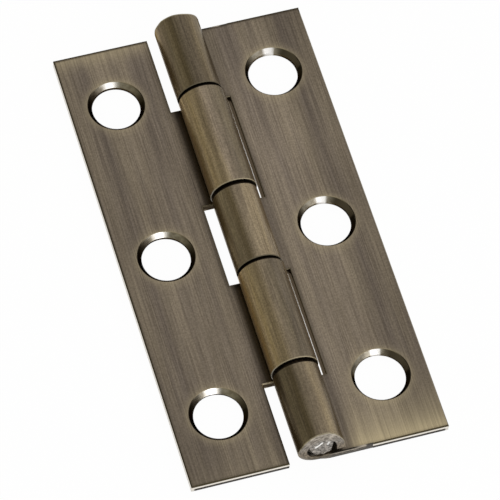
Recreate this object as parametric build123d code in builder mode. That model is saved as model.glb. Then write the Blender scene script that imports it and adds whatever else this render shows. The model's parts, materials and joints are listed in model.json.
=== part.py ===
from build123d import *
import os
from math import cos, radians, sin, tan

os.makedirs("parts", exist_ok=True)

# Narrow butt hinge, lying open: the pin runs along Y, the backs of both leaves lie on Z = 0,
# and the origin is midway along the pin, on that plane. The three-knuckle leaf is on the +X side.

# Driving dimensions, in millimetres and degrees
leaf_length = 64.0  # along the pin
open_width = 33.2  # across both leaves
strip_thickness = 1.15  # of the sheet that leaves and knuckles are punched from
pin_diameter = 3.7
running_clearance = 0.05  # between the pin and the rolled knuckles, on the radius

middle_knuckle = 11.0  # length along the pin
long_knuckle = 14.7  # length of each knuckle of the two-knuckle leaf
tight_gap = 0.34  # beyond each long knuckle, on its far side
slack_gap = 0.5  # on its near side
notch_clearance = 0.95  # from the barrel to the other leaf's notch
short_tip_lean = 6.0  # outwards from upright, of the straight tip that ends each short knuckle
short_tip_gap = 0.85  # from there to its own leaf
long_tip_lean = -25.0  # the long knuckles roll on, until their tip leans inwards
long_tip_gap = 0.3

hole_diameter = 6.3
countersink_diameter = 7.4
countersink_angle = 82.0
hole_pitch = 23.2  # along the leaf
hole_margin = 6.1  # from a hole's centre to the leaf's outer edge
edge_break = 0.12  # drawn down by the punch along the leaf's upper edges

ground_margin = 2.8  # beyond the notch line, how far the ends were ground along with the knuckles
ground_depth = 0.05  # taken off there
near_bevel_depth = 0.45  # ground off the top of the near end knuckle, along the pin
far_bevel_depth = 0.2  # and off the far one
bevel_height = 1.5  # of both bevels

pin_recess = 0.08  # from a ground end to the ridge of the cut pin
pin_tongue = 2.8  # width left between the cutter's two nicks
nick_angle = 55.0  # slope of the nicks
ridge_offset = 0.35  # of the cut's ridge from the middle of the tongue
ridge_angle = 5.0  # slope of the cut to both sides of its ridge

overcut = 1.0  # by which a cut runs past the surface that it opens

# Sizes worked out from those
leaf_width = open_width / 2
bore_radius = pin_diameter / 2 + running_clearance
barrel_radius = bore_radius + strip_thickness
barrel_height = 2 * barrel_radius
notch_edge = barrel_radius + notch_clearance
notch_length = tight_gap + long_knuckle + slack_gap
hole_x = leaf_width - hole_margin
ground_edge = notch_edge + ground_margin
leaf_end = leaf_length / 2
ground_end = leaf_end - ground_depth
pin_end = ground_end - pin_recess

# Along the pin: where the notches of each leaf start and stop
inner_notch = middle_knuckle / 2
outer_notch = inner_notch + notch_length
three_knuckle_notches = [
    (-outer_notch, -inner_notch),
    (inner_notch, outer_notch),
]
two_knuckle_notches = [
    (-leaf_end - overcut, -outer_notch + slack_gap),
    (-inner_notch - tight_gap, inner_notch + slack_gap),
    (outer_notch - tight_gap, leaf_end + overcut),
]


# One leaf: a strip whose inner edge is rolled up and over the pin, until a straight tip points
# down at its own face. side is +1 for the leaf on +X and -1 for the one on -X, and its ends
# have broken edges from break_start outwards.
def rolled_leaf(side, notches, break_start, tip_lean, tip_gap):
    across = Plane((0, 0, 0), x_dir=(side, 0, 0), z_dir=(0, -side, 0))
    roll_angle = 270 - tip_lean
    lean = radians(tip_lean)
    lower_corner = bore_radius if tip_lean > 0 else barrel_radius
    tip_start = barrel_radius + lower_corner * sin(lean)
    tip_length = (tip_start - strip_thickness - tip_gap) / cos(lean)
    tip_run = Vector(sin(lean), -cos(lean)) * tip_length

    with BuildPart() as leaf:
        with BuildSketch(across):
            with BuildLine():
                back = Line((leaf_width, 0), (0, 0))
                outside = CenterArc((0, barrel_radius), barrel_radius, -90, -roll_angle)
                tip_outer = Line(outside @ 1, outside @ 1 + tip_run)
                inside = CenterArc((0, barrel_radius), bore_radius, -90 - roll_angle, roll_angle)
                tip_inner = Line(inside @ 0, inside @ 0 + tip_run)
                Line(tip_outer @ 1, tip_inner @ 1)
                Polyline(
                    inside @ 1,
                    (leaf_width - edge_break, strip_thickness),
                    (leaf_width, strip_thickness - edge_break),
                    back @ 0,
                )
            make_face()
        extrude(amount=leaf_end, both=True)

        # notches that let the other leaf's knuckles in
        cut_start = -barrel_radius - overcut
        for low, high in notches:
            with BuildSketch():
                with Locations((side * (cut_start + notch_edge) / 2, (low + high) / 2)):
                    Rectangle(notch_edge - cut_start, high - low)
            extrude(amount=barrel_height + overcut, both=True, mode=Mode.SUBTRACT)

        # broken upper edges at both ends
        with BuildSketch(Plane.YZ.offset(side * break_start)):
            for end in (-1, 1):
                with BuildLine():
                    Polyline(
                        (end * (leaf_end - 2 * edge_break), strip_thickness + edge_break),
                        (end * (leaf_end + edge_break), strip_thickness + edge_break),
                        (end * (leaf_end + edge_break), strip_thickness - 2 * edge_break),
                        close=True,
                    )
                make_face()
        extrude(amount=side * (leaf_width + overcut - break_start), mode=Mode.SUBTRACT)

        # countersunk screw holes
        rows = [(side * hole_x, hole_pitch * row) for row in (-1, 0, 1)]
        with Locations(Plane.XY.offset(strip_thickness)):
            with Locations(*rows):
                CounterSinkHole(
                    radius=hole_diameter / 2,
                    counter_sink_radius=countersink_diameter / 2,
                    depth=strip_thickness + overcut,
                    counter_sink_angle=countersink_angle,
                )
    return leaf.part


with BuildPart() as three_knuckle_leaf:
    add(rolled_leaf(1, three_knuckle_notches, ground_edge, short_tip_lean, short_tip_gap))

    # both ends of the barrel ground, with the leaf beside it
    ground_start = -barrel_radius - overcut
    with BuildSketch():
        with Locations(
            ((ground_start + ground_edge) / 2, -leaf_end),
            ((ground_start + ground_edge) / 2, leaf_end),
        ):
            Rectangle(ground_edge - ground_start, 2 * ground_depth)
    extrude(amount=barrel_height + overcut, both=True, mode=Mode.SUBTRACT)

    # bevels ground on the top of the end knuckles
    for end, depth in ((-ground_end, near_bevel_depth), (ground_end, far_bevel_depth)):
        inward = -depth if end > 0 else depth
        with BuildSketch(Plane.YZ):
            with BuildLine():
                Polyline(
                    (end, barrel_height - bevel_height),
                    (end, barrel_height + bevel_height),
                    (end + 2 * inward, barrel_height + bevel_height),
                    close=True,
                )
            make_face()
        extrude(amount=barrel_radius + overcut, both=True, mode=Mode.SUBTRACT)

with BuildPart() as two_knuckle_leaf:
    add(rolled_leaf(-1, two_knuckle_notches, notch_edge, long_tip_lean, long_tip_gap))

# The pin, nipped off at both ends by a cutter that came in from either side
with BuildPart() as hinge_pin:
    with BuildSketch(Plane.XZ):
        with Locations((0, barrel_radius)):
            Circle(pin_diameter / 2)
    extrude(amount=pin_end, both=True)

    pin_radius = pin_diameter / 2
    nick_start = pin_tongue / 2
    ridge_slope = tan(radians(ridge_angle))
    nick_slope = tan(radians(nick_angle))
    for end in (-1, 1):
        with BuildSketch(Plane.XY.offset(barrel_radius)):
            for flank in (-1, 1):
                shoulder = abs(flank * nick_start + ridge_offset) * ridge_slope
                root = shoulder + (pin_radius + overcut - nick_start) * nick_slope
                with BuildLine():
                    Polyline(
                        (-ridge_offset, end * pin_end),
                        (flank * nick_start, end * (pin_end - shoulder)),
                        (flank * (pin_radius + overcut), end * (pin_end - root)),
                        (flank * (pin_radius + overcut), end * (pin_end + overcut)),
                        (-ridge_offset, end * (pin_end + overcut)),
                        close=True,
                    )
                make_face()
        extrude(amount=pin_diameter, both=True, mode=Mode.SUBTRACT)

three_knuckle_leaf.part.label = "three_knuckle_leaf"
two_knuckle_leaf.part.label = "two_knuckle_leaf"
hinge_pin.part.label = "hinge_pin"
export_step(three_knuckle_leaf.part, "parts/three_knuckle_leaf.step")
export_step(two_knuckle_leaf.part, "parts/two_knuckle_leaf.step")
export_step(hinge_pin.part, "parts/hinge_pin.step")
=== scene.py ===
import bmesh
import bpy
import json
import math
import numpy as np
from mathutils import Matrix, Vector


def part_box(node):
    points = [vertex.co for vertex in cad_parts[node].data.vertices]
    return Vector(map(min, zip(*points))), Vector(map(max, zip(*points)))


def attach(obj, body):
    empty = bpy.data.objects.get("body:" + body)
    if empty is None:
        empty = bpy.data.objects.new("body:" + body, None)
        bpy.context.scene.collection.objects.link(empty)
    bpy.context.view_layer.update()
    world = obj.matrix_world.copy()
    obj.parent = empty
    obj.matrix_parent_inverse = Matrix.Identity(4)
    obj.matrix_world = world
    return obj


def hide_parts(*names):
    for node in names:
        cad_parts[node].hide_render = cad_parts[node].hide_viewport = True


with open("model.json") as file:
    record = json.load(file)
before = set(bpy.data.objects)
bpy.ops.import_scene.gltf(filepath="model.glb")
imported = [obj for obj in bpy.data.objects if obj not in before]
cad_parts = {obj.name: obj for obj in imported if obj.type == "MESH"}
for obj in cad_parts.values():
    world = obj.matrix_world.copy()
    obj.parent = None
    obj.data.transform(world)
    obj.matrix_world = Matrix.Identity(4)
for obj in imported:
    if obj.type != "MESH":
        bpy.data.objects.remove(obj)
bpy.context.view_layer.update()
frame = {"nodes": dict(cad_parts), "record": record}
print("frame loaded:", sorted(frame["nodes"]))

mm = 0.001  # sizes below are in millimetres, the scene is in metres
closeBy = 1e-6  # places nearer than this are the same
joinReach = 0.001  # points nearer than this become one
sharpAngle = 38  # degrees between two faces, from which their edge isn't smoothed

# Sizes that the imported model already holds
leafHigh = np.array(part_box("three_knuckle_leaf")[1]) / mm
pinHigh = np.array(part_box("hinge_pin")[1]) / mm
leafWidth = leafHigh[0]  # from the pin's axis to the outer edge
leafEnd = leafHigh[1]  # from the middle of the hinge to either end
barrelRadius = leafHigh[2] / 2
pinRadius = pinHigh[0]
pinEnd = pinHigh[1]
screwRow = next(m for m in frame["record"]["mounts"] if m["name"] == "fixed_leaf_outer_screws")
holeX = screwRow["pos_m"][0] / mm
holePitch = screwRow["dims"]["spacing_y_mm"] / 2
holeRadius = screwRow["dims"]["hole_r_mm"]

# The strip that both leaves are punched from, and how finely it is drawn
strip = {
    "thickness": 1.15,
    "notchEdge": 4.0,  # from the pin's axis to the edge of the notches
    "groundEdge": 6.8,  # how far from it the ends are ground
    "edgeRound": 0.15,  # rounding of the punched edges on the face
    "crispRound": 0.06,  # less of it at the far end and along some notches
    "burrRound": 0.04,  # and on the back, where the punch came out
    "groundRound": 0.02,  # what is left of it where the ends are ground
    "burnishShare": 0.5,  # lower end of the smooth part of a punched edge, as a share of the thickness
    "fractureStep": 0.015,  # how far the torn part of that edge stands back
    "sinkSlope": 0.869,  # of the countersinks, width over depth
    "rimRound": 0.08,  # rounding of their rims
    "rimCurve": [(1, 0), (0.3, 0.15), (-0.25, 0.6), (-0.5, 0.9)],  # its points, out and down, as shares
    "footCurve": [(0.05, 0.057), (0.03, 0.03), (0, 0)],  # where the cone meets the bore, out and up
    "brokenCurve": [(0, 1), (0.3, 0.3), (1, 0)],  # the bore's broken lower edge, as shares of its width
    "step": 0.55,  # spacing of the mesh lines
    "guards": np.array([0.04, 0.2]),  # more lines, this far inside each edge
    # how far in the face is darkened by painted edge shade from the outer edge, the far and near ends and the
    # notches
    "drawnReach": [0.2, 0.3, 0.2, 0.3],
    "rollStep": 0.15,  # spacing round the barrel
    "ringCount": 9,  # rings from a screw hole to the edges around it
    "ringGuards": (0.012, 0.06),  # where the first two are, as shares of the way, and the last two
    "roundRows": 5,  # rows round a rounded edge
    "pressStart": 3.5,  # radians round the roll, where its outside starts to be pressed in
    "pressReach": 0.8,  # over which that grows
    "pressEnd": 2.0,  # along the tip, where it has gone
    "lean": 0.06,  # of the far end of the barrel, to the left
    "leanStart": 19.0,  # along the pin
    "leanReach": 5.0,
}


# A value held between 0 and 1
def unit(value):
    return np.clip(value, 0, 1)


# Mesh lines through every stop: each span between stops is divided evenly,
# and gets one more line at each of the guards' widths inside both of its ends.
def meshLines(stops, step, guards):
    spans = []
    for low, high in zip(stops[:-1], stops[1:]):
        count = max(2, math.ceil((high - low) / step))
        even = np.linspace(low + guards[-1], high - guards[-1], count)
        spans.append(np.concatenate([[low], low + guards[:-1], even, high - guards[-2::-1]]))
    return np.concatenate(spans + [[stops[-1]]])


# Where a leaf's roll ends and where its straight tip does, both measured along the strip's back. The
# roll stops when the strip points down, leaning outwards by tipLean, and the tip's lower corner is
# tipGap off the face.
def tipEnds(leaf):
    lean = math.radians(leaf["tipLean"])
    corner = barrelRadius - strip["thickness"] if lean > 0 else barrelRadius
    fall = barrelRadius + corner * math.sin(lean) - strip["thickness"] - leaf["tipGap"]
    rollEnd = leafWidth + barrelRadius * (1.5 * math.pi - lean)
    return rollEnd, rollEnd + fall / math.cos(lean)


# Where a point of the flat strip comes to lie. s runs along the strip's back from the leaf's outer
# edge, y along the pin, d up from the back. Up to the pin's axis the strip is flat, then it follows
# a circle round the pin, x = -(R - d) sin a and z = R - (R - d) cos a, and its tip is straight again.
def rolledPlace(leaf, s, y, d):
    lean = math.radians(leaf["tipLean"])
    tip = np.clip(s - tipEnds(leaf)[0], 0, None)
    a = np.clip((s - leafWidth) / barrelRadius, 0, 1.5 * math.pi - lean)
    pressed = unit((a - strip["pressStart"]) / strip["pressReach"])
    pressed = pressed * unit(1 - tip / strip["pressEnd"])
    d = d + leaf["press"] * pressed * (1 - d / strip["thickness"])
    x = np.clip(leafWidth - s, 0, None) - (barrelRadius - d) * np.sin(a) + tip * math.sin(lean)
    z = barrelRadius - (barrelRadius - d) * np.cos(a) - tip * math.cos(lean)
    x = x + leaf["side"] * barrelLean(y) * unit(a)
    if "grind" in leaf:
        y = groundEnds(leaf["grind"], x, y, z)
    return np.stack([leaf["side"] * x, y, z], -1)


# The far end of the barrel stands a little to the left
def barrelLean(y):
    return -strip["lean"] * unit((y - strip["leanStart"]) / strip["leanReach"])


# The last few millimetres are squeezed so that the ends reach only the ground face, which stands back
# by a depth near the barrel, leans inwards over the barrel's top, less so on the left of the far end,
# stands back more on that end's left flank, and is broken round its lower left rim.
def groundEnds(grind, x, y, z):
    lean = np.clip((z - 2 * barrelRadius + grind["bevelHeight"]) / grind["bevelHeight"], 0, None)
    bevelShare = np.clip((x - grind["bevelStart"]) / grind["bevelReach"], grind["leastBevel"], 1)
    bevel = np.where(y < 0, grind["nearBevel"], grind["farBevel"] * bevelShare)
    flankShare = unit((-x - grind["flankStart"]) / grind["flankReach"])
    flank = np.where(y < 0, 0, grind["farFlank"] * flankShare)
    depth = bevel * lean + flank + grind["depth"]
    outside = (np.hypot(x, z - barrelRadius) - barrelRadius) / grind["rimWidth"] + 1
    lowLeft = unit(grind["rimRight"] - x) * unit((grind["rimTop"] - z) / grind["rimFade"])
    depth = depth + grind["rimDepth"] * unit(outside) * lowLeft
    depth = np.where(x < strip["groundEdge"], depth, 0)
    share = np.clip((np.abs(y) - leafEnd + grind["reach"]) / grind["reach"], 0, None)
    return y - np.sign(y) * depth * share


# Where a leaf's screw holes are on the flat strip: one s for all, and three places along the pin
def holePlaces(leaf):
    holes = leaf["holes"]
    rows = holes["onward"] + holePitch * np.array([-1, 0, 1])
    return leafWidth - leaf["side"] * holes["aside"] - holeX, rows


# Quads of a grid of rows and columns, wrapped round if the columns close
def gridFaces(rows, columns, closed=False):
    index = np.arange(rows * columns).reshape(rows, columns)
    nextColumn = np.roll(index, -1, 1) if closed else index[:, 1:]
    here = index if closed else index[:, :-1]
    return np.stack([here[:-1], nextColumn[:-1], nextColumn[1:], here[1:]], -1).reshape(-1, 4)


# Patches of the strip collected as whole arrays: points (s, y, d), quads, and a zone for each quad
class Patches:
    def __init__(self):
        self.points, self.faces, self.zones, self.total = [], [], [], 0

    def add(self, s, y, d, zone, closed=False):
        rows, columns = s.shape
        faces = gridFaces(rows, columns, closed)
        self.points.append(np.stack([s, y, np.broadcast_to(d, s.shape)], -1).reshape(-1, 3))
        self.faces.append(faces + self.total)
        self.zones.append(np.broadcast_to(zone, len(faces)))
        self.total += rows * columns


faceZone, cutZone, sinkZone, groundZone = range(4)  # order of a leaf's materials


# The corners of the strip, walked round from the outer edge, each edge filled with the mesh lines
# that cross it. Every point has the outward direction in which the edge can still be moved.
def outline(leaf, yLines, sLines, sEdge, sNotch, sTip):
    knuckles = sorted(leaf["knuckles"], reverse=True)
    corners = [(sEdge, yLines[0]), (sEdge, yLines[-1]), (sNotch, yLines[-1])]
    for low, high in knuckles:
        corners += [(sNotch, high), (sTip, high), (sTip, low), (sNotch, low)]
    corners.append((sNotch, yLines[0]))
    corners = [c for i, c in enumerate(corners) if c != corners[i - 1]]
    runs, outward = [], []
    for (s0, y0), (s1, y1) in zip(corners, corners[1:] + corners[:1]):
        lines, start, stop = (yLines, y0, y1) if s0 == s1 else (sLines, s0, s1)
        run = lines[(lines >= min(start, stop)) & (lines <= max(start, stop))]
        run = run[::-1] if stop < start else run
        fixed = np.full(len(run), s0 if s0 == s1 else y0)
        points = np.stack([fixed, run] if s0 == s1 else [run, fixed], 1)
        length = abs(stop - start)
        runs.append(points[:-1])
        outward.append(np.tile([(y0 - y1) / length, (s1 - s0) / length], (len(run) - 1, 1)))
    for i, way in enumerate(outward):  # a corner moves along both of its edges
        before = outward[i - 1][-1]
        if abs(before @ way[-1]) < 0.5:
            way[0] = way[-1] + before
    return np.concatenate(runs), np.concatenate(outward)


# A leaf as one closed surface: both faces of the strip, the walls of its punched outline and the
# walls of its countersunk holes, drawn flat and then rolled.
def leafSurface(leaf):
    e, t = strip["edgeRound"], strip["thickness"]
    sEdge, sNotch, sTip = e, leafWidth - strip["notchEdge"] - e, tipEnds(leaf)[1] - e
    knuckles = [(low + e, high - e) for low, high in leaf["knuckles"]]
    cellEdge = holePitch / 2
    stops = [-leafEnd + e, leafEnd - e, -cellEdge, cellEdge] + [y for k in knuckles for y in k]
    yLines = meshLines(np.unique(stops), strip["step"], strip["guards"])
    plateLines = meshLines([sEdge, leafWidth - strip["groundEdge"], sNotch], strip["step"], strip["guards"])
    tongueLines = np.concatenate([
        meshLines([sNotch, leafWidth], strip["step"], strip["guards"])[:-1],
        meshLines([leafWidth, sTip], strip["rollStep"], strip["guards"]),
    ])
    patches = Patches()

    # plate around each hole: straight lines from the hole's rim out to the cell's rectangle
    cells = [(-leafEnd + e, -cellEdge), (-cellEdge, cellEdge), (cellEdge, leafEnd - e)]
    first, second = strip["ringGuards"]
    even = np.linspace(second, 1 - second, strip["ringCount"])
    share = np.concatenate([[0, first], even, [1 - first, 1]])[:, None]
    holes = leaf["holes"]
    rim, wide, bore = strip["rimRound"], holes["sink"], holes["bore"]
    bottom = t - (wide - bore) / strip["sinkSlope"]
    holeS, rows = holePlaces(leaf)
    for (low, high), holeY, broken in zip(cells, rows, holes["broken"]):
        # the hole's profile, radius and height: rounded rim, cone, bore and broken lower edge
        sinkRows = np.array(
            [(wide + out * rim, t - down * rim) for out, down in strip["rimCurve"]]
            + [(bore + out, bottom + up) for out, up in strip["footCurve"]]
            + [(bore + out * broken, up * broken) for out, up in strip["brokenCurve"]])
        side = yLines[(yLines >= low) & (yLines <= high)]
        rimS = np.concatenate([np.full(len(side) - 1, sEdge), plateLines[:-1],
                               np.full(len(side) - 1, sNotch), plateLines[:0:-1]])
        rimY = np.concatenate([side[:-1], np.full(len(plateLines) - 1, high),
                               side[:0:-1], np.full(len(plateLines) - 1, low)])
        reach = np.hypot(rimS - holeS, rimY - holeY)
        radii, depths = sinkRows[:, :1], sinkRows[:, 1:]
        off = unit((depths - bottom) / (t - bottom))
        ringS = holeS - leaf["side"] * off * holes["sinkShift"][0] + (rimS - holeS) / reach * radii
        ringY = holeY + off * holes["sinkShift"][1] + (rimY - holeY) / reach * radii
        patches.add(ringS, ringY, depths, sinkZone, True)
        for i, d in ((0, t), (-1, 0)):
            plateS = ringS[i] + (rimS - ringS[i]) * share
            plateY = ringY[i] + (rimY - ringY[i]) * share
            patches.add(plateS, plateY, d, faceZone, True)

    # tongues that are rolled into the knuckles
    for low, high in knuckles:
        s, y = np.meshgrid(tongueLines, yLines[(yLines >= low) & (yLines <= high)], indexing="ij")
        for d in (t, 0):
            patches.add(s, y, d, faceZone)

    # punched walls: rounded over at the face, smooth, then torn and standing back, rounded again
    inset = dict(leaf, knuckles=knuckles)
    loop, outward = outline(inset, yLines, np.unique(np.concatenate([plateLines, tongueLines])),
                            sEdge, sNotch, sTip)
    ground = (np.abs(loop[:, 1]) > leafEnd - e - closeBy) & (loop[:, 0] > leafWidth - strip["groundEdge"])
    ground &= "grind" in leaf
    inNotch = (np.abs(loop[:, 1]) < leafEnd - 2 * e) & (np.abs(loop[:, 0] - sNotch) < closeBy)
    draft = np.where(inNotch, np.interp(loop[:, 1], *leaf["notchDraft"]), 0)
    curve = np.radians(np.linspace(90, 0, strip["roundRows"]))[:, None]
    crisp = (loop[:, 1] > leafEnd - e - closeBy) | (inNotch & (loop[:, 1] > leaf["crispFrom"]))
    over = np.where(ground, strip["groundRound"], np.where(crisp, strip["crispRound"], e))
    under = np.where(ground, strip["groundRound"], strip["burrRound"])
    back = np.where(ground, 0, strip["fractureStep"])
    outset = np.concatenate([
        np.zeros((1, len(loop))),
        e - over * (1 - np.cos(curve)),
        np.broadcast_to(e, (1, len(loop))),
        [e - back, e - back],
        (e - back) - under * (1 - np.cos(curve[::-1][1:])),
        np.zeros((1, len(loop))),
    ])
    depth = np.concatenate([
        np.full((1, len(loop)), t),
        t - over * (1 - np.sin(curve)),
        np.full((1, len(loop)), t * strip["burnishShare"]),
        [np.full(len(loop), t * strip["burnishShare"] - strip["fractureStep"]), under],
        under * (1 - np.sin(curve[::-1][1:])),
        np.zeros((1, len(loop))),
    ])
    outset = outset + draft * unit(1 - depth / t) * (outset > 0)
    wallZone = np.tile(np.where(ground & np.roll(ground, -1), groundZone, cutZone), len(depth) - 1)
    patches.add(loop[:, 0] + outward[:, 0] * outset, loop[:, 1] + outward[:, 1] * outset, depth,
                wallZone, True)
    return patches


def addObject(name, data):
    added = bpy.data.objects.new(name, data)
    bpy.context.scene.collection.objects.link(added)
    return added


# One object from quads of points in millimetres, with points that meet joined and faces turned outwards
def putMesh(name, points, faces, zones, values, materials):
    mesh = bpy.data.meshes.new(name)
    mesh.from_pydata((points * mm).tolist(), [], faces.tolist())
    mesh.polygons.foreach_set("material_index", np.asarray(zones, np.int32))
    for label, value in values.items():
        layer = mesh.attributes.new(label, "FLOAT", "POINT")
        layer.data.foreach_set("value", np.asarray(value, np.float32))
    work = bmesh.new()
    work.from_mesh(mesh)
    bmesh.ops.remove_doubles(work, verts=work.verts, dist=joinReach * mm)
    bmesh.ops.recalc_face_normals(work, faces=work.faces)
    loose = sum(not edge.is_manifold for edge in work.edges)
    work.to_mesh(mesh)
    work.free()
    mesh.polygons.foreach_set("use_smooth", np.ones(len(mesh.polygons), bool))
    mesh.set_sharp_from_angle(angle=math.radians(sharpAngle))
    for material in materials:
        mesh.materials.append(material)
    print(name, "faces", len(mesh.polygons), "open edges", loose)
    return addObject(name, mesh)


# Leaves

# Tones are how bright the finish is, with painted light and shade in them: across the plate, at distances
# from the pin's axis, darker next to the barrel as painted shade, along the pin, and round each knuckle, at
# the angles in toneAngles, where lighter and darker bands stand in for the light and shade that the knuckles
# reflect.
toneAngles = [100, 120, 135, 156, 165, 183, 203, 215, 240, 252, 260]
rightLeaf = {
    "side": 1,
    "tipLean": 6.0,
    "press": 0.12,  # how far the outside of the roll is pressed in before its tip
    "tipGap": 0.85,
    "knuckles": [(-leafEnd, -21.04), (-5.5, 5.5), (21.04, leafEnd)],  # along the pin
    # brightness round each knuckle: painted light and shade
    "knuckleTones": [(1.05, 0.42, 0.63, 0.6, 0.78, 0.93, 1.24, 1.42, 0.88, 0.9, 0.9),
                     (1.3, 0.7, 0.87, 0.93, 1.16, 1.31, 1.37, 1.58, 1.6, 1.4, 1.35),
                     (1.5, 0.77, 0.86, 0.65, 0.65, 0.63, 0.78, 1.05, 0.75, 0.8, 0.8)],
    # share of blue, at the same angles: a painted tint of the reflections round the knuckles
    "coolTones": (0.72, 0.80, 1.08, 0.9, 1.03, 1.02, 0.97, 1.02, 0.92, 0.9, 0.9),
    "plateTones": ([3.4, 4.2, 5.0, 10.9, 11.8, 16.5], [0.82, 0.9, 1.18, 1.14, 0.90, 0.84]),
    "endTones": ([-27, -13, -5, 3, 12, 20, 29], [1.0, 0.97, 1.0, 1.02, 1.1, 1.02, 0.86]),
    # how far the foot of the notches' walls stands out, at places along the pin
    "notchDraft": ([-20.6, -17, -5.9, 5.9, 10, 14, 20.7], [0.18, 0.16, 0.2, 0.205, 0.18, 0.19, 0.21]),
    "grind": {
        "depth": 0.05,
        "reach": 3.0,  # along the pin, over which the strip is squeezed
        "bevelHeight": 1.5, "nearBevel": 0.42, "farBevel": 0.2,
        "bevelStart": -1.0, "bevelReach": 2.0,  # across the pin, where the far bevel grows to the right
        "leastBevel": 0.1,  # share of it before that
        "farFlank": 0.15,  # ground off the far end's left flank
        "flankStart": 2.3, "flankReach": 0.5,  # to the left of the pin's axis
        "rimDepth": 0.22,  # broken off the lower left rim
        "rimWidth": 0.5,
        "rimRight": 1.0,  # where that stops, across and upwards
        "rimTop": 3.6,
        "rimFade": 1.2,
    },
    "holes": {
        "aside": 0.03,  # how far the holes are off to the right
        "onward": [0.17, -0.06, 0.03],  # and along the pin, from the near hole on
        "sinkShift": (0.1, 0.13),  # how far the countersinks are off the holes
        "bore": holeRadius + 0.06,
        "sink": 3.66,  # radius of the countersinks
        "broken": [0.4, 0.25, 0.15],  # width of the broken lower edges
        "bright": (-0.12, 0.31),  # sines of the angles between which the far wall gets a painted highlight
        "soft": (0.12, 0.04),  # how softly that starts and stops
        "glints": [1.0, 1.0, 0.85],  # how bright it is
        "dim": [0.0, 0.35, 0.35],  # how dark the painted shade is on the wall's left
        "boreGlint": 1.0,  # whether the bore's wall gets the painted highlight too, or else painted shade
        "past": 1.0,  # how dark the painted shade is to the right of the painted highlight
    },
    "wearAndHighlight": [0.0, 0.4, 0.35],  # how bare and lit the knuckles' near edges are: wear and a painted highlight
    "drawn": [0.12, 1.0, 0.3, 0.4],  # how dark the painted edge shade is along the outer edge, the far and near ends and the notches
    "crispFrom": leafEnd,  # place along the pin from which the notches' edges are less rounded
    "nearRubAndSheen": 1.0,  # how bright the near end is: brushing wear and painted sheen
    "farRubAndSheen": 0.0,
}
leftLeaf = {
    "side": -1,
    "tipLean": -25.0,
    "press": 0.0,
    "tipGap": 0.3,
    "knuckles": [(-20.54, -5.84), (6.0, 20.7)],
    # brightness round each knuckle: painted light and shade
    "knuckleTones": [(1.3, 1.35, 0.95, 0.8, 0.62, 1.05, 1.46, 1.4, 1.58, 4.0, 3.8),
                     (1.0, 1.02, 0.8, 0.91, 0.93, 1.58, 1.62, 1.62, 1.28, 2.6, 3.4)],
    "coolTones": (0.95, 0.97, 1.03, 1.13, 1.08, 1.06, 0.95, 0.95, 0.78, 0.77, 0.9),
    # darkest next to the barrel: painted shade under its overhang
    "plateTones": ([2.6, 3.0, 3.2, 3.4, 3.6, 3.8, 4.0, 4.2, 4.4, 4.8, 5.2, 11.0, 12.5, 16.5],
                   [0.12, 0.14, 0.19, 0.27, 0.44, 0.62, 0.76, 0.84, 0.91, 0.97, 1.0, 1.02, 0.92, 0.88]),
    "endTones": ([-32, -28, -22, 26, 32], [0.9, 0.92, 1.0, 1.0, 1.08]),
    "notchDraft": ([-leafEnd, leafEnd], [0.0, 0.0]),
    "holes": {
        "aside": -0.02, "onward": [0.14, 0.17, 0.19], "sinkShift": (0.0, 0.06),
        "bore": holeRadius - 0.03, "sink": 3.64, "broken": [0.4, 0.25, 0.15],
        "bright": (-0.32, 0.42), "soft": (0.3, 0.3), "glints": [0.85, 0.75, 0.75],
        "dim": [0.35, 0.35, 0.3], "boreGlint": 0.0, "past": 0.3,
    },
    "wearAndHighlight": [1.0, 1.0],
    "drawn": [0.55, 1.0, 0.3, 0.7],
    "crispFrom": -20.0,
    "nearRubAndSheen": 0.1,
    "farRubAndSheen": 0.5,
}
# wear of the finish, together with painted sheen near the ends
rubAndSheen = {
    "near": [(0.55, 5.0), (0.45, 1.6)],  # shares at the near end, and how far in they reach
    "far": 1.6,  # reach from the far end
    "rim": (0.3, 0.6),  # share and reach round the screw holes
    "start": 3.6,  # from the pin's axis, where the plate starts to be rubbed and lightened
    "grow": 1.6,
}
farWall = {
    "dimStart": 0.3,  # sine of the angle to the left, from which the wall is dimmed by painted shade
    "dimReach": 0.5,
    "pastReach": 0.3,  # over which painted shade darkens it to the right
    "foot": 0.02,  # how far the bore's painted highlight or painted shade reaches up the cone
}


# How far the brushing has gone through the dark finish, with painted sheen lightening the plate near the
# ends, from 0 to 1: most near the ends and round the holes, each falling off with the distance from it.
def wearAndSheen(leaf, s, y):
    ends = [share * np.exp(-((leafEnd + y) / reach) ** 2) for share, reach in rubAndSheen["near"]]
    near = leaf["nearRubAndSheen"] * sum(ends)
    far = leaf["farRubAndSheen"] * np.exp(-((leafEnd - y) / rubAndSheen["far"]) ** 2)
    holeS, rows = holePlaces(leaf)
    apart = np.hypot(s - holeS, np.abs(y[:, None] - rows).min(1))
    share, reach = rubAndSheen["rim"]
    rim = share * np.exp(-((apart - leaf["holes"]["sink"]) / reach) ** 2)
    onPlate = unit((leafWidth - s - rubAndSheen["start"]) / rubAndSheen["grow"])
    return unit((near + far) * onPlate + rim)


# How close each point is to an edge, 1 at the edge, as the strength of the painted shade along it: the
# distances to the outer edge, to the two ends and to every notch, of which the smallest counts.
def drawnIn(leaf, s, y):
    knuckles = np.array(sorted(leaf["knuckles"]))
    beyond = 2 * leafEnd
    starts, stops = np.append(-beyond, knuckles[:, 1]), np.append(knuckles[:, 0], beyond)
    aside = np.clip(np.maximum(starts - y[:, None], y[:, None] - stops), 0, None)
    before = np.clip(leafWidth - strip["notchEdge"] - s, 0, None)
    notch = np.hypot(aside, before[:, None]).min(1)
    distances = np.stack([s, leafEnd - y, leafEnd + y, notch], 1) - strip["edgeRound"]
    reach = np.array(strip["drawnReach"])
    closeness = unit((reach - distances) / (reach - strip["guards"][0]))
    return (closeness * leaf["drawn"]).max(1)


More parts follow.
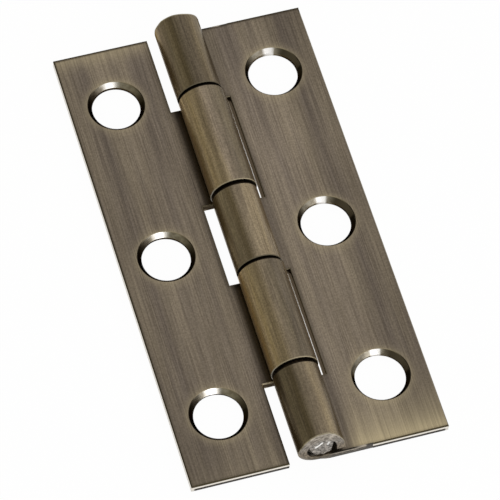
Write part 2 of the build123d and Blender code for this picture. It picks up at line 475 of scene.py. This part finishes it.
# How bare the metal is along the knuckles' near edges, the ones that face the front, lightened by wear and by
# a painted highlight
def bareAndLitEdges(leaf, y):
    near = np.abs(y[:, None] - np.array(leaf["knuckles"])[:, 0]) < 2 * strip["edgeRound"]
    return (near * leaf["wearAndHighlight"]).max(1)


# How far round its screw hole a point lies, from -1 on the near side to 1 on the far side and less where
# painted shade dims the wall, how much it is in the painted highlight on the far wall, and how much in its
# painted shade
def roundHole(leaf, s, y, d):
    holes = leaf["holes"]
    holeS, rows = holePlaces(leaf)
    row = np.abs(y[:, None] - rows).argmin(1)
    aside, onward = leaf["side"] * (holeS - s), y - rows[row]
    reach = np.hypot(aside, onward)
    far, right = onward / reach, aside / reach
    dimShare = unit((-right - farWall["dimStart"]) / farWall["dimReach"])
    start, stop = holes["bright"]
    softStart, softStop = holes["soft"]
    inside = unit((right - start) / softStart) * unit((stop - right) / softStop)
    past = holes["past"] * unit((right - stop) / farWall["pastReach"])
    sinkFoot = strip["thickness"] - (holes["sink"] - holes["bore"]) / strip["sinkSlope"]
    inBore = (d < sinkFoot + farWall["foot"]) * (1 - holes["boreGlint"])
    glint = (1 - inBore) * inside * (far > 0) * np.array(holes["glints"])[row]
    dark = np.maximum(past, inBore) * (far > 0)
    return far - np.array(holes["dim"])[row] * dimShare, glint, dark


# The tone at each point, with its painted light and shade, from the plate's tones or from those of the
# knuckle it belongs to
def toneWithPaintedLight(leaf, s, y):
    plate = np.interp(leafWidth - s, *leaf["plateTones"]) * np.interp(y, *leaf["endTones"])
    angle = np.degrees((s - leafWidth) / barrelRadius)
    tones = [np.interp(angle, toneAngles, tone) for tone in leaf["knuckleTones"]]
    middles = np.array([(low + high) / 2 for low, high in leaf["knuckles"]])
    nearest = np.abs(y[:, None] - middles).argmin(1)
    return np.where(s > leafWidth, np.choose(nearest, tones), plate)


# How cool the painted tint of the reflections is round the knuckles, 1 on the plate
def paintedReflectionCool(leaf, s):
    angle = np.degrees((s - leafWidth) / barrelRadius)
    return np.where(s > leafWidth, np.interp(angle, toneAngles, leaf["coolTones"]), 1)


def makeLeaf(name, node, body, leaf, materials):
    patches = leafSurface(leaf)
    points, faces = np.concatenate(patches.points), np.concatenate(patches.faces)
    s, y, d = points.T
    # the values carry the tone with painted light and shade, a painted tint of the reflections, wear with
    # painted sheen, painted edge shade, and bare edges with a painted highlight
    values = {"across": s, "depth": d / strip["thickness"], "rubbedAndSheen": wearAndSheen(leaf, s, y),
              "tone": toneWithPaintedLight(leaf, s, y), "cool": paintedReflectionCool(leaf, s), "drawn": drawnIn(leaf, s, y),
              "bareAndLit": bareAndLitEdges(leaf, y)}
    values["far"], values["glint"], values["past"] = roundHole(leaf, s, y, d)
    piece = putMesh(name, rolledPlace(leaf, s, y, d), faces, np.concatenate(patches.zones), values, materials)
    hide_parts(node)
    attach(piece, body)


# Pin

pin = {
    "ridgeOffset": 0.35,
    "ridge": 5.0,  # slope of the cut to both sides of its ridge
    # nicks of the cutter: distance from the middle, which way they lie, and slope
    "nicks": [{"start": 1.46, "way": -5.0, "slope": 62.0}, {"start": 1.35, "way": 206.0, "slope": 28.0}],
    # steps torn across the cut: a point on each, which way it falls, its sizes, and how bare it is, with a
    # painted highlight on its face
    "steps": [{"at": (-0.35, 0.55), "way": 137.0, "width": 0.16, "height": 0.1, "half": 0.75, "shine": 1.0},
              {"at": (0.86, 0.6), "way": 163.0, "width": 0.2, "height": 0.1, "half": 0.45, "shine": 0.75}],
    "tear": 0.03,  # height of the finer torn lines
    "tearPitch": 0.33,
    "tearWay": 137.0,  # which way they lie
    "tearPeak": 0.35,  # where in each of them the cut is highest
    "stepFade": 0.15,  # over which the bare face of a step ends
    "grid": 72,  # mesh lines across an end
    "rows": 60,  # and along the shank
}


# A cut end as a height over the pin's cross-section: falls off to both sides of the ridge and faster
# past the nicks, less the height of each torn step on its low side and of a fine slanting saw-tooth.
def cutEnd(x, z):
    height = pinEnd - np.abs(x + pin["ridgeOffset"]) * math.tan(math.radians(pin["ridge"]))
    for nick in pin["nicks"]:
        way = math.radians(nick["way"])
        past = np.clip(x * math.cos(way) + z * math.sin(way) - nick["start"], 0, None)
        height = height - past * math.tan(math.radians(nick["slope"]))
    for step in pin["steps"]:
        height = height - step["height"] * tornStep(step, x, z)[0]
    lean = math.radians(pin["tearWay"])
    wave = (x * math.cos(lean) + z * math.sin(lean)) / pin["tearPitch"]
    return height - pin["tear"] * np.abs(wave % 1 - pin["tearPeak"]) / (1 - pin["tearPeak"])


# How far down a torn step each point is, from 0 to 1, and how much it lies on the bare face of the step,
# which gets a painted highlight
def tornStep(step, x, z):
    way = math.radians(step["way"])
    across = (x - step["at"][0]) * math.cos(way) + (z - step["at"][1]) * math.sin(way)
    along = (z - step["at"][1]) * math.cos(way) - (x - step["at"][0]) * math.sin(way)
    down = unit(across / step["width"] + 0.5)
    ends = unit((step["half"] - np.abs(along)) / pin["stepFade"])
    return down, ends * ((down > 0) & (down < 1))


# The pin: a square grid pressed into a circle makes each end, x = a sqrt(1 - b b / 2) and
# z = b sqrt(1 - a a / 2), and straight lines between their rims make the shank.
def makePin(materials):
    grid = np.linspace(-1, 1, pin["grid"])
    a, b = np.meshgrid(grid, grid, indexing="ij")
    x, z = pinRadius * a * np.sqrt(1 - b * b / 2), pinRadius * b * np.sqrt(1 - a * a / 2)
    disc = gridFaces(pin["grid"], pin["grid"])
    high = cutEnd(x, z)
    top = np.stack([x, high, z + barrelRadius], -1).reshape(-1, 3)
    bottom = np.stack([x, -high, z + barrelRadius], -1).reshape(-1, 3)
    index = np.arange(pin["grid"] ** 2).reshape(pin["grid"], pin["grid"])
    rim = np.concatenate([index[:-1, 0], index[-1, :-1], index[:0:-1, -1], index[0, :0:-1]])
    share = np.linspace(0, 1, pin["rows"])[:, None, None]
    shank = top[rim] + (bottom[rim] - top[rim]) * share
    points = np.concatenate([top, bottom, shank.reshape(-1, 3)])
    points[:, 0] += barrelLean(points[:, 1])
    faces = np.concatenate([disc, disc + len(top), gridFaces(pin["rows"], len(rim), True) + 2 * len(top)])
    zones = np.zeros(len(faces))
    # bare faces of the torn steps, which get a painted highlight
    bareAndLit = np.max([step["shine"] * tornStep(step, x, z)[1] for step in pin["steps"]], axis=0).ravel()
    values = {"bareAndLit": np.concatenate([bareAndLit, bareAndLit, np.zeros(len(points) - 2 * len(top))])}
    piece = putMesh("hingePin", points, faces, zones, values, materials)
    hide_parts("hinge_pin")
    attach(piece, "fixed_leaf")


# Shader helpers

def setInputs(tree, node, values):
    for label, value in values.items():
        if isinstance(value, bpy.types.NodeSocket):
            tree.links.new(value, node.inputs[label])
        else:
            node.inputs[label].default_value = value


def addNode(tree, kind, values=None, **settings):
    node = tree.nodes.new(kind)
    for label, value in settings.items():
        setattr(node, label, value)
    setInputs(tree, node, values or {})
    return node


def calc(tree, operation, *values):
    return addNode(tree, "ShaderNodeMath", dict(enumerate(values)), operation=operation).outputs[0]


def times(tree, first, second):
    return calc(tree, "MULTIPLY", first, second)


def fade(tree, value, low, high, toLow=0.0, toHigh=1.0):
    labels = {"Value": value, "From Min": low, "From Max": high, "To Min": toLow, "To Max": toHigh}
    node = addNode(tree, "ShaderNodeMapRange", labels, interpolation_type="SMOOTHSTEP")
    return node.outputs["Result"]


def blend(tree, share, first, second, mode="MIX"):
    node = addNode(tree, "ShaderNodeMix", {0: share, 6: first, 7: second}, data_type="RGBA", blend_type=mode)
    return node.outputs[2]


def blendBy(tree, value, span, first, second, mode="MIX"):
    return blend(tree, fade(tree, value, *span), first, second, mode)


def noise(tree, vector, scale, detail=2.0, roughness=0.5):
    labels = {"Vector": vector, "Scale": scale, "Detail": detail, "Roughness": roughness}
    return addNode(tree, "ShaderNodeTexNoise", labels).outputs["Fac"]


def attribute(tree, name):
    return addNode(tree, "ShaderNodeAttribute", attribute_name=name).outputs["Fac"]


# Where a point is on its piece, in millimetres
def objectPlace(tree):
    place = addNode(tree, "ShaderNodeTexCoord").outputs["Object"]
    scaled = addNode(tree, "ShaderNodeVectorMath", {0: place, 1: [1 / mm] * 3}, operation="MULTIPLY")
    return scaled.outputs[0]


def partsOf(tree, place):
    return addNode(tree, "ShaderNodeSeparateXYZ", {0: place}).outputs


def joined(tree, parts):
    return addNode(tree, "ShaderNodeCombineXYZ", parts).outputs[0]


def newGroup(name, inputs, outputs):
    tree = bpy.data.node_groups.new(name, "ShaderNodeTree")
    for label, kind in inputs:
        tree.interface.new_socket(label, in_out="INPUT", socket_type=kind)
    for label, kind in outputs:
        tree.interface.new_socket(label, in_out="OUTPUT", socket_type=kind)
    return tree, tree.nodes.new("NodeGroupInput").outputs, tree.nodes.new("NodeGroupOutput").inputs


def useGroup(tree, group, values):
    return addNode(tree, "ShaderNodeGroup", values, node_tree=group).outputs


def newMaterial(name, metallic=1.0):
    material = bpy.data.materials.new(name)
    material.use_nodes = True
    tree = material.node_tree
    shader = tree.nodes["Principled BSDF"]
    shader.inputs["Metallic"].default_value = metallic
    return material, tree, shader


def addBump(tree, shader, look, height):
    values = {"Strength": look["bump"], "Distance": look["bumpDepth"] * mm, "Height": height}
    setInputs(tree, shader, {"Normal": addNode(tree, "ShaderNodeBump", values).outputs["Normal"]})


# A value made uneven by the grain, by up to half of ragged either way
def unevenly(tree, value, rough, ragged):
    return calc(tree, "MULTIPLY_ADD", calc(tree, "SUBTRACT", rough, 0.5), ragged, value)


floatSocket, vectorSocket = "NodeSocketFloat", "NodeSocketVector"

brush = {
    # fine lines, middle ones and bands: scale of the noise across the brush's way and along it, its roughness
    "layers": [(7.2, 0.085, 0.6), (1.7, 0.045, 0.55), (0.5, 0.022, 0.5)],
    "shares": (0.78, 0.22),  # of the fine and the middle lines
}


# Lines left by a brush that ran along the pin: noise squeezed across and drawn out along it
def brushGroup():
    tree, given, result = newGroup(
        "brushLines",
        [("Across", floatSocket), ("Along", floatSocket), ("Layer", floatSocket)],
        [("Lines", floatSocket), ("Bands", floatSocket)])
    layers = []
    for across, along, roughness in brush["layers"]:
        parts = {"X": times(tree, given["Across"], across),
                 "Y": times(tree, given["Along"], along), "Z": given["Layer"]}
        layers.append(noise(tree, joined(tree, parts), 1.0, roughness=roughness))
    fine, middle = [times(tree, layer, share) for layer, share in zip(layers, brush["shares"])]
    tree.links.new(calc(tree, "ADD", fine, middle), result["Lines"])
    tree.links.new(layers[2], result["Bands"])
    return tree


grainNoise = {"detail": 3.0, "roughness": 0.6}


# Grain, for surfaces that were torn, ground or turned
def grainGroup():
    tree, given, result = newGroup(
        "grain", [("Place", vectorSocket), ("Size", floatSocket)], [("Grain", floatSocket)])
    scale = calc(tree, "DIVIDE", 1.0, given["Size"])
    tree.links.new(noise(tree, given["Place"], scale, **grainNoise), result["Grain"])
    return tree


brushLines = brushGroup()
grain = grainGroup()


def grainAt(tree, place, size):
    return useGroup(tree, grain, {"Place": place, "Size": size})["Grain"]


# Finishes, some with painted light and shade in them. A pair of numbers is where a fade starts and stops, and
# two more are its values there.

brass = {
    "dark": (0.132, 0.107, 0.080, 1),  # in the brush lines
    "light": (0.217, 0.179, 0.133, 1),  # between them
    "lines": (0.28, 0.72),
    "layerApart": 9.0,  # keeps the back's lines apart from the front's
    "bands": ((0.85, 0.84, 0.88, 1), (1.15, 1.14, 1.10, 1)),  # tints of broad bands
    "bandFade": (0.3, 0.7),
    "rolled": (1.03, 1.0, 0.88, 1),  # tint of the knuckles, which are a little yellower
    "rollStart": (14.0, 16.0),  # from the outer edge, where the plate goes over into them
    "shorter": 1.8,  # how much shorter the brush lines are on the knuckles
    "coolGreen": 0.25,  # how much of a change in blue the green shares
    "grain": (0.15, 0.18),  # strength of the mottling, on the plates and on the knuckles
    "grainSize": 0.24,
    "mottle": (0.3, 0.7, -1.0, 1.0),
    "rubbedAndSheen": (0.465, 0.385, 0.235, 1),  # where the dark finish is brushed off, and painted sheen near the ends
    "rubAndSheenLines": (0.2, 0.7, 0.5, 1.0),  # less of that in the brush lines
    "drawn": (0.035, 0.028, 0.019, 1),  # painted shade along the edges
    "drawnShare": 0.85,
    "front": (0.7, 0.9),  # depth of the face, which alone gets the painted edge shade
    "glancing": (0.93, 0.91, 0.87, 1),  # tint at a flat angle
    "farGlancing": (0.3, 0.26, 0.2, 1),  # and on both flanks of the barrel's far end, darkened as painted shade
    "leftFlank": (4.0, 4.3),  # radians round the pin
    "rightFlank": (1.9, 1.6),
    "farEnd": (29.8, 30.6),  # along it
    "bore": (0.15, 0.145, 0.14, 1),  # inside of the knuckles
    "boreDepth": (0.4, 0.6),
    "boreTurn": (0.1, 0.4),
    "roughness": (0.3, 0.7, 0.40, 0.27),
    "bump": 0.3,
    "bumpDepth": 0.02,
}


# How close a point is to the outer edges of a leaf, 1 within a given width of them
def nearEdge(tree, across, along, width):
    ends = fade(tree, calc(tree, "ABSOLUTE", along), leafEnd - width, leafEnd - 0.5 * width)
    side = fade(tree, across, width, 0.5 * width)
    return calc(tree, "MAXIMUM", ends, side)


def makeBrass():
    material, tree, shader = newMaterial("antiqueBrass")
    place = objectPlace(tree)
    along = partsOf(tree, place)["Y"]
    across, depth = attribute(tree, "across"), attribute(tree, "depth")
    layer = times(tree, depth, brass["layerApart"])
    drawnOut = times(tree, along, fade(tree, across, *brass["rollStart"], 1.0, brass["shorter"]))
    lines = useGroup(tree, brushLines, {"Across": across, "Along": drawnOut, "Layer": layer})
    colour = blendBy(tree, lines["Lines"], brass["lines"], brass["dark"], brass["light"])
    bands = blendBy(tree, lines["Bands"], brass["bandFade"], *brass["bands"])
    colour = blend(tree, 1.0, colour, bands, "MULTIPLY")
    colour = blendBy(tree, across, brass["rollStart"], colour, brass["rolled"], "MULTIPLY")

    # tones, which hold painted light and shade, with grain
    cool = attribute(tree, "cool")
    green = calc(tree, "MULTIPLY_ADD", cool, brass["coolGreen"], 1 - brass["coolGreen"])
    tint = addNode(tree, "ShaderNodeCombineColor", {"Red": 1.0, "Green": green, "Blue": cool}).outputs[0]
    colour = blend(tree, 1.0, colour, tint, "MULTIPLY")
    rough = grainAt(tree, place, brass["grainSize"])
    strength = fade(tree, across, *brass["rollStart"], *brass["grain"])
    mottle = calc(tree, "MULTIPLY_ADD", fade(tree, rough, *brass["mottle"]), strength, 1.0)
    tone = times(tree, attribute(tree, "tone"), mottle)
    colour = addNode(tree, "ShaderNodeVectorMath", {0: colour, "Scale": tone}, operation="SCALE").outputs[0]

    # rubbed parts with painted sheen, and painted shade along the edges
    inLines = fade(tree, lines["Lines"], *brass["rubAndSheenLines"])
    wornAndLit = times(tree, attribute(tree, "rubbedAndSheen"), inLines)
    colour = blend(tree, wornAndLit, colour, brass["rubbedAndSheen"])
    drawn = times(tree, attribute(tree, "drawn"), fade(tree, depth, *brass["front"]))
    colour = blend(tree, times(tree, drawn, brass["drawnShare"]), colour, brass["drawn"])

    # the knuckles' bores, and the painted shade on the flanks of the far end, by the angle round the pin
    turned = calc(tree, "MULTIPLY_ADD", across, 1 / barrelRadius, -leafWidth / barrelRadius)
    left, right = fade(tree, turned, *brass["leftFlank"]), fade(tree, turned, *brass["rightFlank"])
    farEnd = times(tree, fade(tree, along, *brass["farEnd"]), calc(tree, "ADD", left, right))
    glancing = blend(tree, farEnd, brass["glancing"], brass["farGlancing"])
    onInside = fade(tree, depth, *brass["boreDepth"])
    inside = times(tree, onInside, fade(tree, turned, *brass["boreTurn"]))
    colour = blend(tree, inside, colour, brass["bore"])
    dull = fade(tree, lines["Lines"], *brass["roughness"])
    setInputs(tree, shader, {"Base Color": colour, "Specular Tint": glancing, "Roughness": dull})
    addBump(tree, shader, brass, lines["Lines"])
    return material


cut = {
    "drawn": (0.05, 0.04, 0.022, 1),  # painted shade on the upper edge
    "plain": (0.2, 0.17, 0.125, 1),  # and where there is no painted edge shade
    "plainFade": (0.12, 0.28),
    "upperDepth": (0.80, 0.86),
    "burnished": (0.84, 0.79, 0.70, 1),
    "torn": (0.05, 0.043, 0.036, 1),
    "tornDepth": (0.48, 0.54),
    "sideTorn": (0.7, 0.67, 0.62, 1),  # on the leaf's outer side
    "sideReach": (0.5, 0.3),
    "edgeWidth": 0.6,  # within this of the leaf's outer edges, the colours above hold
    "inner": (0.022, 0.017, 0.012, 1),  # walls of the notches: dark finish left there, darkened further as painted shade of the gaps
    "foot": (0.2, 0.17, 0.125, 1),  # lower part of those walls, beside the flat of the leaf
    "footDepth": (0.45, 0.2),
    "footReach": (3.2, 3.7),  # from the pin's axis
    "lip": (0.115, 0.095, 0.062, 1),  # their upper edges, darkened as painted shade
    "lipDepth": (0.82, 0.96),
    "wornAndLit": (0.42, 0.36, 0.25, 1),  # and their lower ones, which are the knuckles' outer edges: worn, and lit as a painted highlight
    "wornAndLitDepth": (0.10, 0.03),
    "flatReach": (2.5, 3.0),  # from the pin's axis, where the lip is worn and lit too
    "flatEnd": (-19.0, -20.3),  # and along the pin
    "silver": (0.58, 0.56, 0.52, 1),  # where the outer edges come down again to the leaf
    "silverTurn": (4.0, 4.4),  # radians round the pin
    "glancing": (0.82, 0.72, 0.62, 1),  # tint of the notches at a flat angle
    "edgeGlancing": (1, 1, 1, 1),
    "grainSize": 0.25,
    "ragged": 0.15,
    "roughness": (0.6, 0.3),  # torn and smooth
    "bump": 0.4,
    "bumpDepth": 0.03,
}


def makeCut():
    material, tree, shader = newMaterial("punchedEdge")
    place = objectPlace(tree)
    along = partsOf(tree, place)["Y"]
    across, depth = attribute(tree, "across"), attribute(tree, "depth")
    bareAndLit = attribute(tree, "bareAndLit")
    rough = grainAt(tree, place, cut["grainSize"])
    edge = unevenly(tree, depth, rough, cut["ragged"])

    # walls of the notches and sides of the knuckles: painted shade of the gaps, with a painted highlight on
    # the worn edges
    wornAndLit = times(tree, fade(tree, edge, *cut["wornAndLitDepth"]), bareAndLit)
    silver = fade(tree, across, *[leafWidth + turn * barrelRadius for turn in cut["silverTurn"]])
    inner = blend(tree, wornAndLit, cut["inner"], blend(tree, silver, cut["wornAndLit"], cut["silver"]))
    besideFlat = fade(tree, across, *[leafWidth - reach for reach in cut["footReach"]])
    foot = times(tree, fade(tree, depth, *cut["footDepth"]), besideFlat)
    inner = blend(tree, foot, inner, cut["foot"])
    flat = times(tree, bareAndLit, fade(tree, across, *[leafWidth - reach for reach in cut["flatReach"]]))
    flat = times(tree, flat, fade(tree, along, *cut["flatEnd"]))
    lip = blend(tree, flat, cut["lip"], cut["wornAndLit"])
    inner = blendBy(tree, depth, cut["lipDepth"], inner, lip)

    # outer edges of the leaf, with painted shade on their upper edge
    torn = blendBy(tree, across, cut["sideReach"], cut["torn"], cut["sideTorn"])
    colour = blendBy(tree, edge, cut["tornDepth"], torn, cut["burnished"])
    upper = blendBy(tree, attribute(tree, "drawn"), cut["plainFade"], cut["plain"], cut["drawn"])
    colour = blendBy(tree, depth, cut["upperDepth"], colour, upper)
    outer = nearEdge(tree, across, along, cut["edgeWidth"])
    colour = blend(tree, outer, inner, colour)
    glancing = blend(tree, outer, cut["glancing"], cut["edgeGlancing"])
    dull = fade(tree, edge, *cut["tornDepth"], *cut["roughness"])
    setInputs(tree, shader, {"Base Color": colour, "Specular Tint": glancing, "Roughness": dull})
    addBump(tree, shader, cut, rough)
    return material


sink = {
    "dark": (0.19, 0.165, 0.125, 1),  # grain of the far wall
    "light": (0.31, 0.28, 0.222, 1),
    "grainSize": 0.9,
    "grainFade": (0.35, 0.65),
    "glint": (0.97, 0.95, 0.92, 1),  # painted highlight on the far wall
    "past": (0.08, 0.066, 0.046, 1),  # and painted shade next to it
    # painted shade on the side walls
    "sides": (0.022, 0.018, 0.012, 1),
    "sideFade": (0.05, 0.85),  # from the sides to the far wall
    # painted shade on the near rim
    "rim": (0.03, 0.024, 0.016, 1),
    # painted highlight on the far rim
    "farRim": (0.3, 0.25, 0.165, 1),
    "rimFade": (0.3, 0.9),
    "rimDepth": (0.94, 0.97),
    "glancing": (0.2, 0.17, 0.13, 1),  # tint at a flat angle, which keeps the near wall dark
    "roughness": (0.5, 1.0, 0.3, 0.18),  # less in the painted highlight
}


def makeSink():
    material, tree, shader = newMaterial("turnedCountersink")
    rough = grainAt(tree, objectPlace(tree), sink["grainSize"])
    colour = blendBy(tree, rough, sink["grainFade"], sink["dark"], sink["light"])
    far, glint = attribute(tree, "far"), attribute(tree, "glint")
    # painted shade on the sides and next to the highlight, and the painted highlight on the far wall
    colour = blendBy(tree, far, sink["sideFade"], sink["sides"], colour)
    colour = blend(tree, attribute(tree, "past"), colour, sink["past"])
    colour = blend(tree, glint, colour, sink["glint"])
    rim = blendBy(tree, far, sink["rimFade"], sink["rim"], sink["farRim"])
    colour = blendBy(tree, attribute(tree, "depth"), sink["rimDepth"], colour, rim)
    dull = fade(tree, glint, *sink["roughness"])
    setInputs(tree, shader, {"Base Color": colour, "Specular Tint": sink["glancing"], "Roughness": dull})
    return material


groundSteel = {
    "dark": (0.105, 0.091, 0.074, 1),  # streaks round the ring
    "light": (0.37, 0.333, 0.288, 1),
    "streaks": (0.45, 1.5),  # their scale round the ring and across it
    "streakSize": 0.35,
    "streakFade": (0.32, 0.68),
    "top": (1.4, 1.4, 1.38, 1),  # painted light on the ring's top
    "topHeight": (4.6, 5.6),
    "low": (0.74, 0.66, 0.54, 1),  # painted shade on its lower half
    "lowHeight": (4.6, 2.6),
    "under": (0.58, 0.6, 0.6, 1),  # and painted shade on its underside
    "underHeight": (1.9, 0.7),
    "rim": (0.30, 0.255, 0.16, 1),  # outer edge of the ring
    "rimDepth": (0.07, 0.03, 0.0, 0.7),
    "ringStart": (0.8, 1.8),  # from the pin's axis, where the ring goes over into the leaf's end
    "end": (0.062, 0.053, 0.041, 1),
    "specks": (0.2, 0.175, 0.14, 1),  # on the leaf's end
    "speckFade": (0.45, 0.65),
    "speckDepth": (0.36, 0.46),
    "pale": (0.40, 0.35, 0.28, 1),  # bare line above them
    "paleDepth": (0.70, 0.76),
    "line": (0.03, 0.026, 0.02, 1),  # painted shade along the leaf's face beside the barrel
    "lineDepth": (0.84, 0.90),
    "lineReach": (5.6, 4.2),  # from the pin's axis
    "burr": (0.07, 0.062, 0.052, 1),  # rough end of the ground part
    "burrStart": (5.9, 6.4),
    "burrRagged": 0.6,
    "grainSize": 0.3,
    "ragged": 0.3,
    "roughness": 0.45,
    "bump": 0.4,
    "bumpDepth": 0.03,
}


def makeGround():
    material, tree, shader = newMaterial("groundSteel")
    look = groundSteel
    place = objectPlace(tree)
    x, z = [partsOf(tree, place)[axis] for axis in "XZ"]
    across, depth = attribute(tree, "across"), attribute(tree, "depth")
    rough = grainAt(tree, place, look["grainSize"])

    # ring of the barrel's end, with painted light on its top and painted shade below
    scaled = [times(tree, *pair) for pair in zip((across, depth), look["streaks"])]
    drawnOut = joined(tree, {"X": scaled[0], "Y": scaled[1]})
    streaks = grainAt(tree, drawnOut, look["streakSize"])
    ring = blendBy(tree, streaks, look["streakFade"], look["dark"], look["light"])
    for part in ("top", "low", "under"):
        ring = blendBy(tree, z, look[part + "Height"], ring, look[part], "MULTIPLY")
    ring = blendBy(tree, depth, look["rimDepth"], ring, look["rim"])

    # end of the leaf beside it
    edge = unevenly(tree, depth, rough, look["ragged"])
    speckled = blendBy(tree, rough, look["speckFade"], look["end"], look["specks"])
    flat = blendBy(tree, edge, look["speckDepth"], look["end"], speckled)
    flat = blendBy(tree, edge, look["paleDepth"], flat, look["pale"])
    onLine = fade(tree, depth, *look["lineDepth"])
    dark = times(tree, onLine, fade(tree, x, *look["lineReach"]))
    flat = blend(tree, dark, flat, look["line"])
    ragged = calc(tree, "MULTIPLY_ADD", rough, look["burrRagged"], x)
    flat = blendBy(tree, ragged, look["burrStart"], flat, look["burr"])
    onLeaf = fade(tree, across, *[leafWidth - start for start in look["ringStart"]])
    colour = blend(tree, onLeaf, ring, flat)
    setInputs(tree, shader, {"Base Color": colour, "Roughness": look["roughness"]})
    addBump(tree, shader, look, streaks)
    return material


wire = {
    "dark": (0.085, 0.078, 0.068, 1),
    "light": (0.45, 0.41, 0.36, 1),
    "bareAndLit": (0.93, 0.92, 0.89, 1),  # faces of the torn steps: bare metal with a painted highlight
    "grainSize": 0.4,
    "grainFade": (0.3, 0.7),
    "roughness": (0.42, 0.28),  # of the dark and the light parts
    "bump": 0.2,
    "bumpDepth": 0.03,
}


def makeWire():
    material, tree, shader = newMaterial("pinWire")
    rough = grainAt(tree, objectPlace(tree), wire["grainSize"])
    colour = blendBy(tree, rough, wire["grainFade"], wire["dark"], wire["light"])
    # painted highlight on the bare faces of the torn steps
    colour = blend(tree, attribute(tree, "bareAndLit"), colour, wire["bareAndLit"])
    dull = fade(tree, rough, *wire["grainFade"], *wire["roughness"])
    setInputs(tree, shader, {"Base Color": colour, "Roughness": dull})
    addBump(tree, shader, wire, rough)
    return material


leafMaterials = [makeBrass(), makeCut(), makeSink(), makeGround()]
makeLeaf("rightLeaf", "three_knuckle_leaf", "fixed_leaf", rightLeaf, leafMaterials)
makeLeaf("leftLeaf", "two_knuckle_leaf", "swing_leaf", leftLeaf, leafMaterials)
makePin([makeWire()])
print("pieces made")


# Floor and studio

studio = {
    "floorSize": 6.0,  # metres
    "floorDrop": 0.02,  # millimetres under the leaves' backs
    "whiteShare": 0.97,  # of the floor's brightness that doesn't depend on the light
    "floorColour": (0.92, 0.92, 0.92, 1),
    "floorRoughness": 0.9,
    "warmGreen": 0.12,  # how much of the warmth the green shares
    # the tent around the hinge: angle from overhead towards +X in degrees, brightness, and warmth
    "tent": [(-180, 0.85, 0.4), (-108, 0.66, 0.45), (-84, 0.62, 0.32), (-60, 0.76, 0.16), (-46, 0.5, 0.16),
             (-36, 0.31, 0.2), (-24, 0.5, 0.16), (-4, 0.9, 0.0), (14, 0.95, 0.0), (60, 1.02, 0.0),
             (108, 0.86, 0.15), (180, 0.85, 0.1)],
    "frontLight": {"place": (0.10, -0.46, 0.17), "size": (0.46, 0.18), "brightness": 2.0},
}


def makeFloor():
    half = studio["floorSize"] / 2
    low = -studio["floorDrop"] * mm
    mesh = bpy.data.meshes.new("floor")
    corners = [(-half, -half, low), (half, -half, low), (half, half, low), (-half, half, low)]
    mesh.from_pydata(corners, [], [(0, 1, 2, 3)])
    floor = addObject("floor", mesh)
    material, tree, shader = newMaterial("whiteFloor", 0.0)
    setInputs(tree, shader, {"Base Color": studio["floorColour"], "Specular IOR Level": 0.0,
                             "Roughness": studio["floorRoughness"]})
    glow = addNode(tree, "ShaderNodeEmission", {"Color": (1, 1, 1, 1), "Strength": 1.0})
    path = addNode(tree, "ShaderNodeLightPath").outputs
    mirrored = calc(tree, "MAXIMUM", path["Is Glossy Ray"], path["Is Transmission Ray"])
    seen = calc(tree, "MAXIMUM", path["Is Camera Ray"], mirrored)
    share = times(tree, seen, studio["whiteShare"])
    both = addNode(tree, "ShaderNodeMixShader", {0: share, 1: shader.outputs[0], 2: glow.outputs[0]})
    tree.links.new(both.outputs[0], tree.nodes["Material Output"].inputs["Surface"])
    mesh.materials.append(material)


def makeTent():
    world = bpy.data.worlds.new("tent")
    bpy.context.scene.world = world
    world.use_nodes = True
    tree = world.node_tree
    way = partsOf(tree, addNode(tree, "ShaderNodeTexCoord").outputs["Generated"])
    turn = calc(tree, "ARCTAN2", way["X"], way["Z"])
    ramp = addNode(tree, "ShaderNodeValToRGB", {0: calc(tree, "MULTIPLY_ADD", turn, 0.5 / math.pi, 0.5)})
    stops = ramp.color_ramp.elements
    stops[0].position, stops[1].position = 0.0, 1.0
    for stop in studio["tent"][1:-1]:
        stops.new(stop[0] / 360 + 0.5)
    for stop, (_, level, warmth) in zip(stops, studio["tent"]):
        stop.color = (level, level * (1 - studio["warmGreen"] * warmth), level * (1 - warmth), 1)
    tree.links.new(ramp.outputs["Color"], tree.nodes["Background"].inputs["Color"])


def makeLight(name, light):
    lamp = bpy.data.lights.new(name, "AREA")
    lamp.shape = "RECTANGLE"
    lamp.size, lamp.size_y = light["size"]
    lamp.energy = light["brightness"] * math.pi * lamp.size * lamp.size_y
    holder = addObject(name, lamp)
    holder.location = light["place"]
    holder.rotation_euler = (-Vector(light["place"])).to_track_quat("-Z", "Y").to_euler()


makeFloor()
makeTent()
makeLight("frontLight", studio["frontLight"])
print("studio made")


# Camera

camera = {
    "place": (-101.793, -255.338, 465.817),
    "target": (0.2025, -0.9924, 0.05),
    "roll": 6.03,  # degrees, turning the picture's right side up
    "lens": 307.467,
    "sensor": 36.0,
    "clip": (0.01, 20.0),  # metres
}


def makeCamera():
    data = bpy.data.cameras.new("camera")
    data.lens, data.sensor_width = camera["lens"], camera["sensor"]
    data.clip_start, data.clip_end = camera["clip"]
    holder = addObject("camera", data)
    place, target = Vector(camera["place"]) * mm, Vector(camera["target"]) * mm
    aim = (target - place).to_track_quat("-Z", "Y").to_matrix().to_4x4()
    roll = Matrix.Rotation(math.radians(camera["roll"]), 4, "Z")
    holder.matrix_world = Matrix.Translation(place) @ aim @ roll
    bpy.context.scene.camera = holder


makeCamera()
bpy.context.scene.view_settings.view_transform = "Standard"
print("camera set")
